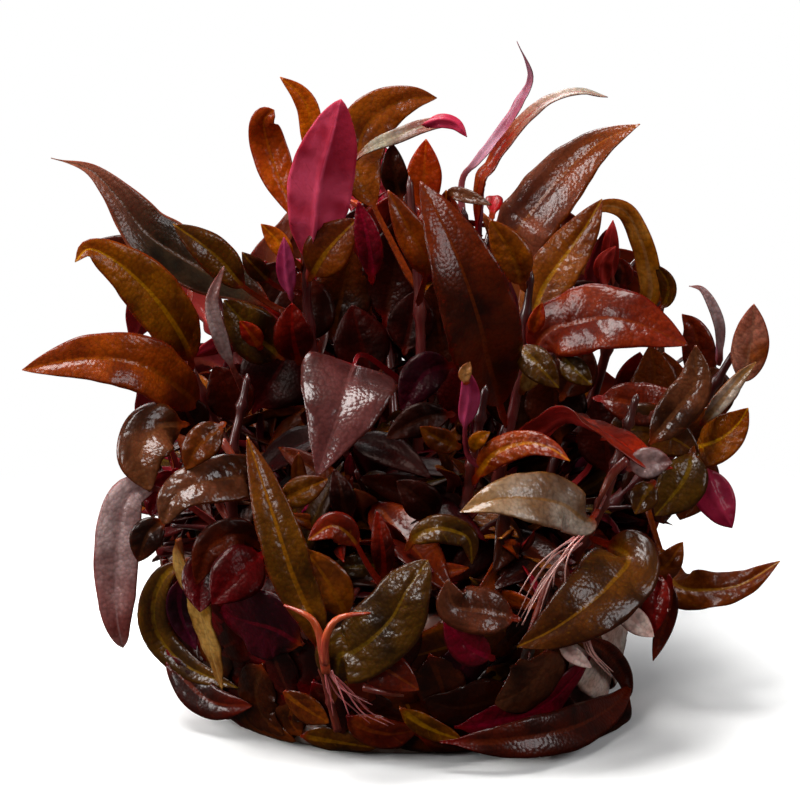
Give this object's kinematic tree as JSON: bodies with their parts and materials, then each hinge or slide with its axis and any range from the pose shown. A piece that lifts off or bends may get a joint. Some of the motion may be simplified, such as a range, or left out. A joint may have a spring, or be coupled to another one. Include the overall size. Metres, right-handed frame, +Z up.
{
  "type": "aquarium plant clump, dwarf red alternanthera",
  "caption": "Tissue-cultured clump of dwarf red aquarium plant on its gel plug, with upright shoots and narrow wet leaves in copper, olive and crimson, for planting in a tank.",
  "frame": {"origin": "centre of the gel plug's flat underside, on the surface that it rests on", "axes": "+Z up along the plug; +X to the right and +Y away from the viewer of the side that the picture shows"},
  "size_m": [0.093, 0.0792, 0.0816],
  "materials": {
    "culture_gel": "wet, cloudy and translucent, with a soft gloss",
    "undergrowth": "dense short shoots, wet and dark",
    "stem": "smooth succulent stem, coral to crimson, wet",
    "leaf_ochre": "wet puckered blade, ochre with a yellow midrib",
    "leaf_copper": "wet puckered blade, copper to orange-brown",
    "leaf_olive": "wet puckered blade, dark olive",
    "leaf_dark": "wet puckered blade, near-black purple-brown",
    "leaf_pink": "satin underside, magenta to crimson",
    "leaf_silver": "glossy wet blade, grey-pink with silvery highlights"
  },
  "bodies": {
    "root": {"gel_plug": "culture_gel", "leaf_amber_hooked": "leaf_copper", "leaf_centre_large": "leaf_dark", "leaf_copper_far_right": "leaf_copper", "leaf_copper_left": "leaf_copper", "leaf_copper_right": "leaf_copper", "leaf_dark_midrib": "leaf_olive", "leaf_edge_bent": "leaf_silver", "leaf_edge_tall": "leaf_silver", "leaf_folded_pink": "leaf_pink", "leaf_glossy_top": "leaf_silver", "leaf_hanging": "leaf_silver", "leaf_long_left": "leaf_dark", "leaf_magenta": "leaf_pink", "leaf_narrow_ochre": "leaf_ochre", "leaf_ochre_left": "leaf_ochre", "leaf_olive_bent": "leaf_olive", "leaf_orange_middle": "leaf_copper", "leaf_orange_right": "leaf_copper", "leaf_orange_side": "leaf_copper", "leaf_orange_top": "leaf_copper", "leaf_pale_rim": "leaf_silver", "leaf_rear_1": "leaf_copper", "leaf_rear_2": "leaf_olive", "leaf_rear_3": "leaf_pink", "leaf_rear_4": "leaf_copper", "leaf_rear_5": "leaf_ochre", "leaf_rear_6": "leaf_olive", "leaf_rear_7": "leaf_copper", "leaf_rear_8": "leaf_dark", "leaf_silver_broad": "leaf_silver", "leaf_silver_olive": "leaf_silver", "leaf_wavy_right": "leaf_copper", "leaf_wet_olive": "leaf_olive", "pressed_brown": "leaf_dark", "pressed_curled": "leaf_olive", "pressed_grey_broad": "leaf_silver", "pressed_left": "leaf_olive", "pressed_low_front": "leaf_dark", "pressed_low_left": "leaf_copper", "pressed_purple": "leaf_pink", "pressed_purple_sweep": "leaf_pink", "pressed_rear_1": "leaf_copper", "pressed_rear_2": "leaf_dark", "pressed_rear_3": "leaf_olive", "stem_back": "stem", "stem_back_left": "stem", "stem_back_right": "stem", "stem_centre": "stem", "stem_front": "stem", "stem_left": "stem", "stem_left_front": "stem", "stem_low_front": "stem", "stem_right": "stem", "stem_right_back": "stem", "stem_right_front": "stem", "stem_right_middle": "stem", "stem_tall": "stem", "stem_upper_left": "stem", "undergrowth": "undergrowth"}
  },
  "joints": []
}
